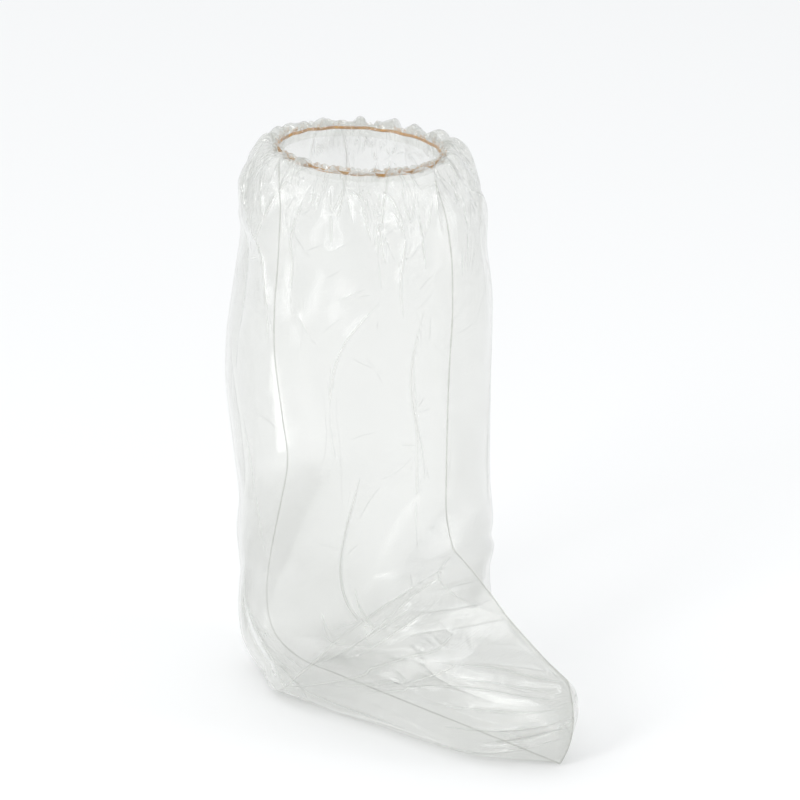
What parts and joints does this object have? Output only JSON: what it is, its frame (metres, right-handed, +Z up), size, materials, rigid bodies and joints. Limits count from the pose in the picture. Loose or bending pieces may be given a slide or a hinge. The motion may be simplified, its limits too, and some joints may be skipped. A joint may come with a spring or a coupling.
{
  "type": "shoe cover",
  "caption": "Boot-height shoe cover of clear film, a welded foot-shaped bag with a gathered elastic mouth, in the form that it takes when worn over a boot.",
  "frame": {"origin": "centre of the mouth's elastic, where the cover grips the leg", "axes": "+Z up out of the mouth, -Y towards the toe, +X towards the wearer's left"},
  "size_m": [0.1977, 0.3234, 0.4198],
  "materials": {
    "film": "clear, slightly milky polythene film with a fine embossed grain",
    "hem_film": "the same film, folded double and gathered",
    "weld_film": "film melted and cut along the edge, a thin glossy line",
    "elastic": "natural tan rubber thread, matt"
  },
  "bodies": {
    "root": {"right_panel": "film", "left_panel": "film", "hem": "hem_film", "elastic_band": "elastic", "front_weld": "weld_film", "back_weld": "weld_film"}
  },
  "joints": []
}
